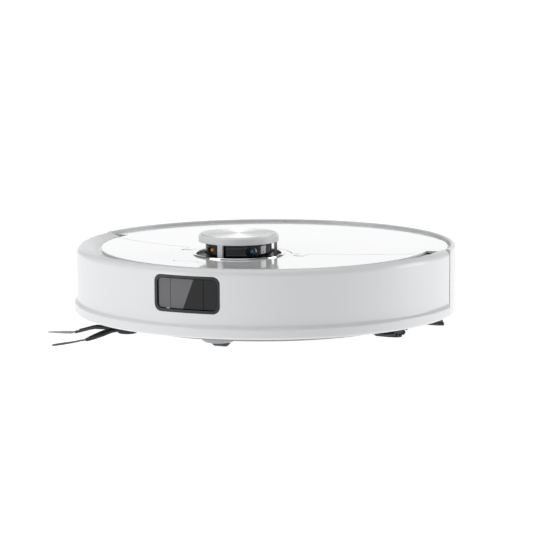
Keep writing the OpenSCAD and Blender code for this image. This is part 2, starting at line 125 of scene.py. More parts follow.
def pick(piece, kind, test):
    """In edit mode, selects the faces, edges or verts that pass a test."""
    mesh = bmesh.from_edit_mesh(piece.data)
    bpy.ops.mesh.select_all(action="DESELECT")
    bpy.ops.mesh.select_mode(type={"faces": "FACE", "edges": "EDGE", "verts": "VERT"}[kind])
    chosen = [item for item in getattr(mesh, kind) if test(item)]
    for item in chosen:
        item.select_set(True)
    mesh.select_flush(True)
    bmesh.update_edit_mesh(piece.data)


def slice_across(piece, axis, places):
    """Cuts a piece into lengths at places along an axis, in millimetres, so that it can bend."""
    only(piece)
    bpy.ops.object.mode_set(mode="EDIT")
    for place in places:
        point, normal = [0, 0, 0], [0, 0, 0]
        point[axis], normal[axis] = place * MM, 1
        bpy.ops.mesh.select_all(action="SELECT")
        bpy.ops.mesh.bisect(plane_co=point, plane_no=normal)
    bpy.ops.object.mode_set(mode="OBJECT")
    return piece


def shifted(piece, *place):
    """Moves a piece's mesh by a distance in millimetres along X, Y and Z."""
    piece.data.transform(Matrix.Translation(Vector(place) * MM))
    return piece


def apply_modifier(piece, kind, **settings):
    """Adds a modifier with its settings and applies it."""
    only(piece)
    modifier = piece.modifiers.new(kind.lower(), kind)
    for key, value in settings.items():
        setattr(modifier, key, value)
    bpy.ops.object.modifier_apply(modifier=modifier.name)


def settle(piece, name, smooth=35):
    """Puts a piece's place in its mesh, names it and smooths it, with its flat faces kept flat."""
    only(piece)
    bpy.ops.object.transform_apply(location=True, rotation=True, scale=True)
    piece.name = name
    piece.data.name = name
    bpy.ops.object.shade_smooth_by_angle(angle=math.radians(smooth))
    apply_modifier(piece, "WEIGHTED_NORMAL", weight=50, keep_sharp=True)
    return piece


print("helpers ready")

# %% [markdown]
# ## Shader maths as expressions
#
# A finish is easier to read when its sums look like sums. The class below wraps a socket, so that
# `0.2 + 0.1 * grain` adds its own Math nodes. Every other node comes from one method of the finish.

# %% A socket that can be added and multiplied
class Out:
    """A number that comes out of a node."""

    def __init__(self, finish, socket):
        self.finish = finish
        self.socket = socket

    def math(self, operation, first, second):
        return self.finish.node("Math", {"operation": operation}, {0: first, 1: second})

    def __add__(self, other):
        return self.math("ADD", self, other)

    def __sub__(self, other):
        return self.math("SUBTRACT", self, other)

    def __rsub__(self, other):
        return self.math("SUBTRACT", other, self)

    def __mul__(self, other):
        return self.math("MULTIPLY", self, other)

    def __lt__(self, other):
        return self.math("LESS_THAN", self, other)

    __radd__ = __add__
    __rmul__ = __mul__


class Finish:
    """A material with one main shader, and a short way to add the nodes that vary it."""

    def __init__(self, name, color, roughness, **constants):
        self.material = bpy.data.materials.new(name)
        self.material.use_nodes = True
        self.tree = self.material.node_tree
        self.shader = self.tree.nodes["Principled BSDF"]
        self.color = (*color[:3], 1)
        self.shader.inputs["Base Color"].default_value = self.color
        self.shader.inputs["Roughness"].default_value = roughness
        self.material.diffuse_color = self.color
        for key, value in constants.items():
            self.shader.inputs[key.replace("_", " ")].default_value = value
        self.place = self.node("TexCoord", {}, {}, "Object")

    def node(self, kind, settings, inputs, output=0):
        """Adds a node: its settings first, then the values or links of its sockets."""
        made = self.tree.nodes.new("ShaderNode" + kind)
        for key, value in settings.items():
            setattr(made, key, value)
        for key, value in inputs.items():
            self.put(made.inputs[key], value)
        return Out(self, made.outputs[output])

    def put(self, socket, value):
        """Links an Out to a socket, or sets the socket's own value."""
        if isinstance(value, Out):
            self.tree.links.new(value.socket, socket)
        else:
            socket.default_value = value

    def set(self, name, value):
        self.put(self.shader.inputs[name], value)
        return self

    def noise(self, size, detail=3.0, roughness=0.55, at=None):
        """Cloudy noise with features of about this size in metres, from 0 to 1."""
        return self.node("TexNoise", {}, {"Vector": at or self.place, "Scale": 1 / size,
                                          "Detail": detail, "Roughness": roughness})

    def axes(self):
        """The X, Y and Z of a point, in metres."""
        split = self.node("SeparateXYZ", {}, {"Vector": self.place})
        return [Out(self, socket) for socket in split.socket.node.outputs]

    def blend(self, mask, first, second):
        """The first colour where the mask is 0 and the second where it is 1."""
        return self.node("Mix", {"data_type": "RGBA"}, {0: mask, 6: first, 7: second}, 2)

    def relief(self, height, depth):
        """Bumps of this depth in metres on the main shader."""
        return self.set("Normal", self.node("Bump", {}, {"Height": height, "Distance": depth,
                                                         "Strength": 1.0}))


def shade(color, factor):
    """A colour made darker or lighter."""
    return (*[min(1, c * factor) for c in color[:3]], 1)


print("finish helpers ready")

# %% [markdown]
# ## Finishes
#
# The shell is injection-moulded in a clean white with the faint ripple that all glossy mouldings
# have: satin on the wall, and mirror gloss under a hard clear coat on the deck and the lid. The
# working parts below and inside are textured plastics, rubber and metal. Each kind of finish has its
# own small function, so that it can be tuned alone.

# %% White shell, deck and buttons
WHITE = (0.765, 0.77, 0.78)


def gloss_shell(name, roughness, ripple, coat, sheen):
    """White moulding: a fine ripple, and a slow cloud in its colour and polish."""
    finish = Finish(name, WHITE, roughness, Coat_Weight=coat, Coat_Roughness=0.03,
                    Specular_IOR_Level=sheen)
    cloud = finish.noise(30 * MM)
    fine = finish.noise(1.4 * MM, detail=2.0)
    finish.set("Base Color", finish.blend(cloud * 0.25, finish.color, shade(WHITE, 0.97)))
    finish.set("Roughness", roughness + 0.03 * cloud)
    return finish.relief(fine, ripple)


shell_white = gloss_shell("shell_white", 0.3, 0.004 * MM, 0.1, 0.3)
deck_white = gloss_shell("deck_white", 0.06, 0.0012 * MM, 0.5, 0.5)
print("white finishes:", shell_white.material.name, deck_white.material.name)

# %% Moulded plastics
def moulded(name, color, roughness, grain=0.9, depth=0.03, **constants):
    """Textured plastic: a fine spark-eroded grain and uneven wear in the sheen."""
    finish = Finish(name, color, roughness, **constants)
    fine = finish.noise(grain * MM, detail=4.0)
    wear = finish.noise(22 * MM)
    finish.set("Base Color", finish.blend(wear, shade(color, 0.86), shade(color, 1.12)))
    finish.set("Roughness", roughness - 0.08 + 0.16 * wear)
    return finish.relief(fine, depth * MM)


base_grey = moulded("base_grey", (0.1, 0.1, 0.105), 0.5)
inner_grey = moulded("inner_grey", (0.32, 0.33, 0.345), 0.5)
black_plastic = moulded("black_plastic", (0.012, 0.012, 0.014), 0.38)
gloss_black = moulded("gloss_black", (0.008, 0.008, 0.009), 0.09, depth=0.002, Coat_Weight=0.6)
caster_grey = moulded("caster_grey", (0.36, 0.365, 0.375), 0.36, depth=0.015)
brush_orange = moulded("brush_orange", (0.62, 0.2, 0.05), 0.42)
board_green = moulded("board_green", (0.02, 0.13, 0.055), 0.35, Coat_Weight=0.4)
battery_wrap = moulded("battery_wrap", (0.03, 0.09, 0.22), 0.3, depth=0.01, Coat_Weight=0.4)
bin_smoke = moulded("bin_smoke", (0.08, 0.085, 0.095), 0.14, depth=0.004,
                    Transmission_Weight=0.35, IOR=1.5)
print("plastics ready")

# %% Rubber and fibres
def rubbery(name, color, roughness, grain):
    """Rubber: dull and slightly mottled, paler where it is scuffed."""
    finish = Finish(name, color, roughness, Specular_IOR_Level=0.35)
    speck = finish.noise(grain * MM, detail=6.0, roughness=0.7)
    scuff = finish.noise(9 * MM, detail=5.0)
    finish.set("Base Color", finish.blend(scuff, shade(color, 0.75), shade(color, 1.7)))
    finish.set("Roughness", roughness - 0.1 + 0.2 * scuff)
    return finish.relief(speck, 0.06 * MM)


rubber_black = rubbery("rubber_black", (0.03, 0.03, 0.032), 0.55, 0.8)
tyre_rubber = rubbery("tyre_rubber", (0.018, 0.018, 0.019), 0.62, 1.1)
brush_rubber = rubbery("brush_rubber", (0.035, 0.036, 0.038), 0.42, 0.7)


def fibrous(name, color, pitch, depth):
    """Threads packed side by side, with a painted highlight on their crests and painted shade between
    them.
    """
    finish = Finish(name, color, 0.85, Sheen_Weight=0.4, Sheen_Roughness=0.5)
    thread = finish.node("TexVoronoi", {"feature": "F1"},
                         {"Vector": finish.place, "Scale": 1 / (pitch * MM)})
    tone = finish.noise(6 * MM)
    dark = shade(color, 0.55)
    light = shade(color, 1.7)
    # Painted highlight and shade: each thread is lighter at its middle and darker at its edges
    finish.set("Base Color", finish.blend(1 - thread * 1.1, dark, light))
    finish.set("Roughness", 0.75 + 0.2 * tone)
    return finish.relief(1 - thread, depth * MM)


mop_pile = fibrous("mop_pile", (0.055, 0.056, 0.06), 1.6, 0.5)
bristle_grey = fibrous("bristle_grey", (0.36, 0.36, 0.365), 0.5, 0.08)
bristle_dark = fibrous("bristle_dark", (0.16, 0.16, 0.165), 0.5, 0.08)
filter_paper = fibrous("filter_paper", (0.78, 0.78, 0.75), 0.7, 0.05)
print("rubber and fibres ready")

# %% Metals
def brushed(name, color, roughness, stretch):
    """Brushed metal: long fine scratches along one direction, made by squeezing the noise."""
    finish = Finish(name, color, roughness, Metallic=1.0)
    along = finish.node("Mapping", {}, {"Vector": finish.place, "Scale": stretch})
    scratch = finish.noise(0.5 * MM, detail=5.0, at=along)
    finish.set("Roughness", roughness - 0.06 + 0.14 * scratch)
    finish.set("Base Color", finish.blend(scratch, shade(color, 0.82), shade(color, 1.08)))
    return finish.relief(scratch, 0.004 * MM)


steel = brushed("steel", (0.55, 0.55, 0.56), 0.3, (1, 1, 0.05))
chrome_ring = brushed("chrome_ring", (0.8, 0.8, 0.82), 0.08, (1, 1, 0.2))
contact_gold = brushed("contact_gold", (0.83, 0.62, 0.28), 0.22, (1, 0.1, 1))


def spun_metal(name, centre):
    """A disc faced on a lathe: fine rings round its centre, and a highlight that fans out."""
    finish = Finish(name, (0.7, 0.7, 0.71), 0.26, Metallic=1.0, Anisotropic=0.85)
    offset = finish.node("VectorMath", {"operation": "SUBTRACT"},
                         {0: finish.place, 1: (centre.x, centre.y, centre.z)})
    flat = finish.node("VectorMath", {"operation": "MULTIPLY"}, {0: offset, 1: (1, 1, 0)})
    radius = finish.node("VectorMath", {"operation": "LENGTH"}, {0: flat}, "Value")
    rings = finish.node("TexNoise", {"noise_dimensions": "1D"},
                        {"W": radius * (1 / (0.22 * MM)), "Scale": 1.0, "Detail": 3.0})
    finish.set("Roughness", 0.2 + 0.12 * rings)
    finish.set("Base Color", finish.blend(rings, (0.62, 0.62, 0.63, 1), (0.82, 0.82, 0.83, 1)))
    return finish.relief(rings, 0.003 * MM)


disc_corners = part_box("turret_disc")
turned_aluminium = spun_metal("turned_aluminium", (disc_corners[0] + disc_corners[1]) / 2)
print("metals ready")

# %% [markdown]
# ## The studio
#
# A white robot on a white floor needs even light with gentle falls. The floor glows, which keeps any
# shadow away as in a light tent. A softbox on each side makes the wall light at both ends and greyer
# between them. One above and one low behind, which the deck mirrors, keep the top white. The sky is
# faint. The floor is see-through from below, so the underside can be looked at too.

# %% Floor, sky and softboxes
def pale_floor():
    """A wide pale floor that is clear from its underside."""
    clear_selection()
    bpy.ops.mesh.primitive_plane_add(size=60)
    floor = bpy.context.object
    floor.name = "studio_floor"
    finish = Finish("studio_floor", (0.2, 0.2, 0.2), 0.9, Emission_Color=(1, 1, 1, 1),
                    Emission_Strength=FLOOR_GLOW, Specular_IOR_Level=0.0)
    below = finish.node("NewGeometry", {}, {}, "Backfacing")
    clear = finish.node("BsdfTransparent", {}, {})
    mixed = finish.node("MixShader", {}, {0: below, 1: Out(finish, finish.shader.outputs[0]),
                                          2: clear})
    finish.put(finish.tree.nodes["Material Output"].inputs["Surface"], mixed)
    floor.data.materials.append(finish.material)
    return floor


def softbox(name, turn, rise, distance, size, power):
    """A square lamp that looks at the robot from a direction in degrees."""
    lamp = bpy.data.lights.new(name, "AREA")
    lamp.shape = "RECTANGLE"
    lamp.size, lamp.size_y = size
    lamp.energy = power
    box = bpy.data.objects.new(name, lamp)
    bpy.context.scene.collection.objects.link(box)
    turn, rise = math.radians(turn), math.radians(rise)
    back = Vector((math.cos(turn) * math.cos(rise), math.sin(turn) * math.cos(rise),
                   math.sin(rise)))
    box.location = back * distance
    box.rotation_euler = (-back).to_track_quat("-Z", "Y").to_euler()
    return box


FLOOR_GLOW = 1.0
SKY_GLOW = 0.13
sky = bpy.data.worlds.new("studio_sky")
sky.use_nodes = True
sky.node_tree.nodes["Background"].inputs["Color"].default_value = (1, 1, 1, 1)
sky.node_tree.nodes["Background"].inputs["Strength"].default_value = SKY_GLOW
bpy.context.scene.world = sky
bpy.context.scene.view_settings.view_transform = "Standard"
pale_floor()
softbox("side_light_left", -38, 12, 2.0, (1.0, 1.2), 14.5)
softbox("side_light_right", 118, 12, 2.0, (0.9, 1.2), 20)
softbox("top_light", 285, 80, 2.2, (2.0, 2.0), 27)
softbox("back_light", 200, 13, 3.2, (3.4, 1.3), 15)

# %% [markdown]
# ## Making pieces
#
# Most outer pieces of this robot are round, so they are turned: a closed section of radii and
# heights is spun round an upright axis, a full turn for a cap or part of one for the bumper. Corners
# of a section that carry a rounding become short arcs, because no moulded edge is truly sharp.

# %% Sections and turned pieces
def rounded(corners, parts=5):
    """The points of a closed section. A corner with a third number gets a rounding that big."""
    section = []
    for i, corner in enumerate(corners):
        here = Vector(corner[:2])
        if len(corner) == 2:
            section.append(here)
            continue
        back = (Vector(corners[i - 1][:2]) - here).normalized()
        ahead = (Vector(corners[(i + 1) % len(corners)][:2]) - here).normalized()
        half = back.angle(ahead) / 2
        centre = here + (back + ahead).normalized() * corner[2] / math.sin(half)
        first = here + back * corner[2] / math.tan(half) - centre
        last = here + ahead * corner[2] / math.tan(half) - centre
        start = math.atan2(first.y, first.x)
        turn = math.atan2(first.x * last.y - first.y * last.x, first.dot(last))
        for step in range(parts + 1):
            angle = start + turn * step / parts
            section.append(centre + corner[2] * Vector((math.cos(angle), math.sin(angle))))
    return section


def turned(name, corners, middle=(0, 0), sweep=(0, 360), steps=180, smooth=30):
    """Spins a section, in millimetres, round an upright axis through the middle."""
    section = rounded(corners)
    start, end = (math.radians(angle) for angle in sweep)
    clear_selection()
    bpy.ops.mesh.primitive_circle_add(vertices=len(section), radius=MM)
    piece = bpy.context.object
    for vertex, (radius, height) in zip(piece.data.vertices, section):
        vertex.co = Vector((middle[0] + radius * math.cos(start),
                            middle[1] + radius * math.sin(start), height)) * MM
    bpy.ops.object.mode_set(mode="EDIT")
    bpy.ops.mesh.select_all(action="SELECT")
    # Spin turns clockwise for a positive angle
    bpy.ops.mesh.spin(steps=steps, angle=start - end, axis=(0, 0, 1),
                      center=(middle[0] * MM, middle[1] * MM, 0))
    bpy.ops.mesh.select_all(action="SELECT")
    bpy.ops.mesh.remove_doubles(threshold=0.002 * MM)
    if end - start < math.radians(359):
        bpy.ops.mesh.fill_holes(sides=0)
    bpy.ops.mesh.select_all(action="SELECT")
    bpy.ops.mesh.normals_make_consistent(inside=False)
    bpy.ops.object.mode_set(mode="OBJECT")
    return settle(piece, name, smooth)


print("turning ready")

# %% [markdown]
# Blocks, cuts and joins cover the rest. A cutter is a piece of its own that is taken away from the
# moulding and then removed, the way a mould maker adds a core where a hole is wanted.

# %% Blocks, cuts, joins and copies
def block(low, high, rounding=0.5, upright=0, along=2):
    """A block between two corners in millimetres. upright rounds its edges along one axis more."""
    low, high = Vector(low) * MM, Vector(high) * MM
    clear_selection()
    bpy.ops.mesh.primitive_cube_add(size=1, location=(low + high) / 2)
    piece = bpy.context.object
    piece.scale = high - low
    bpy.ops.object.transform_apply(location=True, rotation=True, scale=True)
    if upright:
        bpy.ops.object.mode_set(mode="EDIT")
        pick(piece, "edges", lambda edge: abs((edge.verts[0].co - edge.verts[1].co)[along])
             > 0.9 * (high - low)[along])
        bpy.ops.mesh.bevel(offset=upright * MM, segments=8, affect="EDGES")
        bpy.ops.object.mode_set(mode="OBJECT")
    if rounding:
        apply_modifier(piece, "BEVEL", width=rounding * MM, segments=3, limit_method="ANGLE",
                       angle_limit=math.radians(40))
    return piece


def turn_about(piece, angle, middle=(0, 0, 0), axis="Z"):
    """Turns a piece's mesh by an angle in degrees about a point in millimetres."""
    place = Matrix.Translation(Vector(middle) * MM)
    piece.data.transform(place @ Matrix.Rotation(math.radians(angle), 4, axis) @ place.inverted())
    return piece


def copy_of(piece):
    """A copy with a mesh of its own."""
    twin = piece.copy()
    twin.data = piece.data.copy()
    bpy.context.scene.collection.objects.link(twin)
    return twin


def ring_of(piece, count, middle, axis="Z"):
    """The piece and its copies, set out evenly round an axis."""
    return [piece] + [turn_about(copy_of(piece), 360 * i / count, middle, axis)
                      for i in range(1, count)]


def cut(piece, *tools):
    """Takes tools away from a piece, and removes them."""
    for tool in tools:
        apply_modifier(piece, "BOOLEAN", operation="DIFFERENCE", object=tool, solver="EXACT")
        bpy.data.objects.remove(tool)
    return piece


def joined(name, parts, smooth=35):
    """Several parts made into one piece."""
    clear_selection()
    for part in parts:
        part.select_set(True)
    bpy.context.view_layer.objects.active = parts[0]
    bpy.ops.object.join()
    return settle(parts[0], name, smooth)


def ease(piece, width, limit=50, segments=3):
    """Rounds the edges that are sharper than a limit in degrees."""
    apply_modifier(piece, "BEVEL", width=width * MM, segments=segments, limit_method="ANGLE",
                   angle_limit=math.radians(limit))
    return piece


print("workshop ready")

# %% [markdown]
# Every piece has to move with the right body of the robot, and hides the plain part that it stands
# for.
# Parts whose shape is right already, such as the hidden gearboxes, only need their edges eased: a
# copy is merged, its flat areas cleared of stray edges, and its sharp edges rounded.

# %% Fitting pieces to the robot
body_of = {node: body for body, members in frame["record"]["behaviour"]["bodies"].items()
           for node in members}
slot_of = {part["node"]: part["material_slot"] for part in frame["record"]["subparts"]}


def fit(piece, finish, node, *others):
    """Gives a piece its finish and its body, and hides the parts that it stands for."""
    piece.data.materials.clear()
    piece.data.materials.append(finish.material)
    if not nodes[node].hide_render:
        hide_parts(node, *others)
    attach(piece, body_of[node])
    return piece


def span(node):
    """The lowest and highest corner of a part, in millimetres."""
    low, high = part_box(node)
    return low / MM, high / MM


def softened(node, width=0.4, segments=2, name=None):
    """A merged copy of a part with its sharp edges rounded."""
    piece = bpy.data.objects.new(name or node + "_piece", nodes[node].data.copy())
    bpy.context.scene.collection.objects.link(piece)
    only(piece)
    bpy.ops.object.mode_set(mode="EDIT")
    bpy.ops.mesh.select_all(action="SELECT")
    bpy.ops.mesh.remove_doubles(threshold=0.001 * MM)
    bpy.ops.mesh.dissolve_limited(angle_limit=math.radians(0.5))
    bpy.ops.object.mode_set(mode="OBJECT")
    apply_modifier(piece, "BEVEL", width=width * MM, segments=segments, limit_method="ANGLE",
                   angle_limit=math.radians(35), use_clamp_overlap=True)
    return settle(piece, piece.name, 30)


print("bodies:", sorted(set(body_of.values())))

# %% [markdown]
# ## Bumper
#
# The front half of the wall is one moulding that wraps 189 degrees round the robot. It has a skirt at
# the floor, a soft top edge, and a slope inside that edge which slides under the deck. It is turned
# from one section, then a rounded core cuts the window.

# %% Turn the bumper
BUMPER_LOW, BUMPER_HIGH = span("bumper_shell")
FOOT_Z = BUMPER_LOW.z
SKIRT_R = BUMPER_HIGH.x
RIM_Z = BUMPER_HIGH.z
WALL_R = -span("rear_shell")[0].x
DECK_Z = span("front_deck")[1].z
BUMPER_HALF = 94.5
WALL = 2.2
SKIRT_TOP = 31.4
SKIRT_END_TOP = 31.6
WINDOW_ROUND = 6.5
PAD_TURN = 32


def window_core(rounding=WINDOW_ROUND):
    """A core with rounded edges that reaches through the wall at the window."""
    low, high = span("window_bezel")
    return block((WALL_R - 12, low.y, low.z), (WALL_R + 6, high.y, high.z), 0, rounding, along=0)


def bumper_wall():
    """The bumper's turned wall with its window, its skirt cut short at the ends, and two pads."""
    slope = (154.5, DECK_Z - 2.6)
    wall = turned("bumper", [
        (169, FOOT_Z, 0.3), (SKIRT_R, FOOT_Z, 2.2), (SKIRT_R, 28.8, 1.6), (WALL_R, SKIRT_TOP, 2.0),
        (WALL_R, RIM_Z, 6), (167.6, RIM_Z, 0.9), (*slope, 0.5), (147, slope[1]),
        (147, slope[1] - 2), (slope[0], slope[1] - 2), (167.6, RIM_Z - WALL),
        (WALL_R - WALL, RIM_Z - WALL, 3.6), (WALL_R - WALL, FOOT_Z + WALL),
        (169, FOOT_Z + WALL)],
        sweep=(-BUMPER_HALF, BUMPER_HALF), steps=210)
    end = [(WALL_R, 19), (WALL_R + 8, 19), (WALL_R + 8, SKIRT_END_TOP), (WALL_R, SKIRT_END_TOP)]
    ends = [turned("end", end, sweep=(angle, angle + 3.2), steps=4)
            for angle in (-BUMPER_HALF - 2, BUMPER_HALF - 1.2)]
    cut(wall, window_core(), *ends)
    pads = [turned("pad", [(169.2, 44), (172, 44), (172, 54), (169.2, 54)],
                   sweep=(angle - 4, angle + 4), steps=6) for angle in (-PAD_TURN, PAD_TURN)]
    return joined("bumper", [ease(wall, 0.5)] + pads, 30)


bumper = fit(bumper_wall(), shell_white, "bumper_shell")
print("bumper faces:", len(bumper.data.polygons))

# %% [markdown]
# ## Rear shell
#
# The back half of the wall is fixed. Its thin rim stands a little above the lid. A row of exhaust
# slots is cut beside the blower, and two flat recesses behind hold the charging contacts.

# %% Turn the rear shell
SLOTS = 10
SLOT_START = 128
SLOT_PITCH = 2.6


def rear_wall():
    """The fixed back wall with its slots and recesses."""
    ledge = DECK_Z - 2.3
    start = BUMPER_HALF + 1
    wall = turned("rear_shell", [
        (163.7, 19), (WALL_R, 19, 1.6), (WALL_R, RIM_Z, 2.2), (WALL_R - 4.2, RIM_Z, 1.0),
        (WALL_R - 4.6, ledge), (162, ledge), (162, ledge - 2), (WALL_R - 2.4, ledge - 2),
        (WALL_R - 2.4, 21.2), (166, 21.2), (166, 26), (161, 26), (161, 24), (163.7, 24)],
        sweep=(start, 360 - start), steps=190)
    slots = [turn_about(block((165, -1.2, 34), (180, 1.2, 62), 0, 1.15, along=0),
                        SLOT_START + SLOT_PITCH * i) for i in range(SLOTS)]
    low, high = span("charging_contacts")
    recess = [block((-180, side * (high.y - 6) - 6.1, low.z - 0.1),
                    (-171.9, side * (high.y - 6) + 6.1, high.z + 0.1), 0) for side in (-1, 1)]
    return joined("rear_shell", [ease(cut(wall, *slots, *recess), 0.35)], 30)


rear = fit(rear_wall(), shell_white, "rear_shell")
print("rear shell faces:", len(rear.data.polygons))

# %% [markdown]
# ## Deck and lid
#
# The top is two flat gloss skins, with a curved seam between them: the front deck, which is fixed,
# and the lid, which lifts at the back. Their outlines are already right in the plain parts, so copies
# get a fine rounding on every edge, which is what draws the thin grey lines round seams and buttons.

# %% Ease the deck, the lid and the buttons
deck = fit(softened("front_deck", 0.35, 3, "deck"), deck_white, "front_deck")
lid = fit(softened("lid", 0.35, 3, "lid_skin"), deck_white, "lid")
for node in ("power_button", "home_button", "spot_button"):
    fit(softened(node, 0.45, 3, node + "_cap"), deck_white, node)
print("deck faces:", len(deck.data.polygons), "lid faces:", len(lid.data.polygons))

# %% [markdown]
# ## Turret
#
# A laser turns inside the turret and looks out through the gap between the deck and a white cap. The
# cap stands on three posts, and a round disc of spun metal is set into its top. A thin bright collar
# lines the hole in the deck.

# %% Turn the cap, its posts, the disc and the collar
cap_low, cap_high = span("turret_cap")
TURRET = ((cap_low.x + cap_high.x) / 2, 0)
CAP_R = (cap_high.x - cap_low.x) / 2
HEAD_LOW, HEAD_HIGH = span("lidar_head")
CAP_UNDER = HEAD_HIGH.z + 1.6
POST_TURN = -5
POST_HALF = 4
POST_IN, POST_OUT = 31.8, 34.5
COLLAR_IN, COLLAR_OUT = 38.4, 40.8


def cap_posts():
    """A tube with three wide windows, whose walls between them are the posts."""
    tube = turned("posts", [(POST_IN, cap_low.z), (POST_OUT, cap_low.z),
                            (POST_OUT, CAP_UNDER + 0.4), (POST_IN, CAP_UNDER + 0.4)],
                  TURRET, steps=144)
    windows = []
    for i in range(3):
        first = POST_TURN + POST_HALF + 120 * i
        window = turned("window", [(30, cap_low.z - 2), (37, cap_low.z - 2), (37, CAP_UNDER - 0.2),
                                   (30, CAP_UNDER - 0.2)], TURRET,
                        (first, first + 120 - 2 * POST_HALF), 56)
        bpy.ops.object.mode_set(mode="EDIT")
        pick(window, "edges", lambda edge: edge.calc_face_angle(0) > 1
             and (edge.verts[0].co - edge.verts[1].co).length > 5 * MM
             and all(v.co.z > (CAP_UNDER - 0.4) * MM for v in edge.verts))
        bpy.ops.mesh.bevel(offset=1.3 * MM, segments=6, affect="EDGES")
        bpy.ops.object.mode_set(mode="OBJECT")
        windows.append(window)
    return ease(cut(tube, *windows), 0.3)


def turret_cap():
    """The white cap, a little hollow on top for the disc, on its posts."""
    top = turned("cap", [(0, CAP_UNDER), (CAP_R, CAP_UNDER, 0.5), (CAP_R, cap_high.z, 1.9),
                         (34.1, cap_high.z, 0.2), (34.1, cap_high.z - 0.25), (0, cap_high.z - 0.25)],
                 TURRET, steps=200)
    return joined("turret_top", [top, cap_posts()], 30)


fit(turret_cap(), shell_white, "turret_cap")
DISC_LOW, DISC_HIGH = span("turret_disc")
DISC_R = (DISC_HIGH.x - DISC_LOW.x) / 2
disc = turned("spun_disc", [(0, DISC_LOW.z - 0.25), (DISC_R, DISC_LOW.z - 0.25),
                            (DISC_R, DISC_HIGH.z, 0.25), (0, DISC_HIGH.z)], TURRET, steps=200)
fit(disc, turned_aluminium, "turret_disc")
ring_low, ring_high = span("collar_ring")
collar = turned("collar", [(COLLAR_IN, ring_low.z), (COLLAR_OUT, ring_low.z),
                           (COLLAR_OUT, ring_high.z, 0.9), (COLLAR_IN, ring_high.z, 0.9)],
                TURRET, steps=200)
fit(collar, chrome_ring, "collar_ring")
print("cap radius:", round(CAP_R, 2), "cap underside:", round(CAP_UNDER, 2))

# %% [markdown]
# The head that spins is gloss black with flat-bottomed sockets for two lenses. Each lens is a black
# barrel with a coloured dome inside, so that a point of colour shows deep in the dark glass. The
# bright flecks in both domes and the faint glow of the amber one are painted glints; the blue one's
# glow stands for its LED.

# %% Turn the laser head and its lenses
HEAD_TURN = 7
LENS_LOW, LENS_HIGH = span("lidar_lenses")
LENS_Y = 18.5
LENS_Z = (LENS_LOW.z + LENS_HIGH.z) / 2
LENS_R = (LENS_HIGH.z - LENS_LOW.z) / 2


def lens_place(piece, side):
    """Lays a piece turned about Z on its side and looks it out of the head at a lens socket."""
    lay = Matrix.Rotation(math.radians(90), 4, "Y")
    out = Matrix.Translation(Vector((14, side * LENS_Y, 0)) * MM)
    look = (Matrix.Translation(Vector((*TURRET, LENS_Z)) * MM)
            @ Matrix.Rotation(math.radians(HEAD_TURN), 4, "Z"))
    piece.data.transform(look @ out @ lay)
    return piece


def laser_head():
    """The black head with two sockets, over the drum that the belt drives."""
    radius = (HEAD_HIGH.x - HEAD_LOW.x) / 2
    head = turned("head", [(0, 56), (4, 56), (4, 65), (19, 65), (21, 65.6), (21, 66.3),
                           (20, 66.7), (20, 69.3), (21, 69.7), (21, 70.4), (12, 70.4), (12, 78),
                           (radius, 78, 0.8), (radius, HEAD_HIGH.z, 0.8), (0, HEAD_HIGH.z)],
                  TURRET, steps=160)
    sockets = [lens_place(turned("socket", [(0, 0), (LENS_R + 0.05, 0), (LENS_R + 0.05, 22),
                                            (0, 22)], steps=48), side) for side in (-1, 1)]
    return joined("laser_head", [ease(cut(head, *sockets), 0.25)], 30)


def lens_barrel(side):
    """A black barrel whose mouth steps down to the dome."""
    return lens_place(turned("barrel", [(0, 0), (LENS_R, 0), (LENS_R, 8, 0.2), (3.3, 8, 0.2),
                                        (2.7, 5.4), (0, 5.4)], steps=48), side)


def lens_dome(side):
    """A small domed glass that stands deep in the barrel."""
    return lens_place(turned("dome", [(0, 5.2), (1.7, 5.2), (1.7, 6.6, 1.3), (0, 6.6)], steps=48),
                      side)


fit(laser_head(), gloss_black, "lidar_head")
# Painted glint: the amber dome glows though it is no lamp; the blue dome's glow stands for its LED
amber = Finish("lens_amber", (0.5, 0.2, 0.03), 0.08, Coat_Weight=1.0,
               Emission_Color=(1, 0.45, 0.08, 1), Emission_Strength=0.12)
blue = Finish("lens_blue", (0.02, 0.12, 0.3), 0.08, Coat_Weight=1.0,
              Emission_Color=(0.08, 0.5, 0.9, 1), Emission_Strength=0.12)
for finish in (amber, blue):
    # Painted glints: bright and dark flecks of noise in each dome's colour
    painted_glint = finish.noise(1.2 * MM, detail=2.0)
    finish.set("Base Color", finish.blend(painted_glint, shade(finish.color, 0.2), shade(finish.color, 2)))
    finish.set("Roughness", 0.06 + 0.1 * painted_glint)
fit(joined("lens_barrels", [lens_barrel(-1), lens_barrel(1)]), gloss_black, "lidar_lenses")
fit(joined("amber_lens", [lens_dome(-1)]), amber, "lidar_lenses")
fit(joined("blue_lens", [lens_dome(1)]), blue, "lidar_lenses")
print("lens radius:", round(LENS_R, 2), "at height", round(LENS_Z, 2))

# %% [markdown]
# ## Window
#
# Behind the bumper's window sit a black frame with a sloped inner edge and a tinted glass with two
# fine joints, one on each side of the camera. The glass carries a painted reflection: a lighter tone
# on one side of a slanted line, painted into its colour.

# %% Frame and glass
GLASS_FACE = WALL_R - 1.9
JOINT_Y = 15.5
BEZEL = 2.6
# Slope and place of the edge of the painted reflection on the glass
REFLECTION_SLANT = 0.39
REFLECTION_EDGE = 1.4


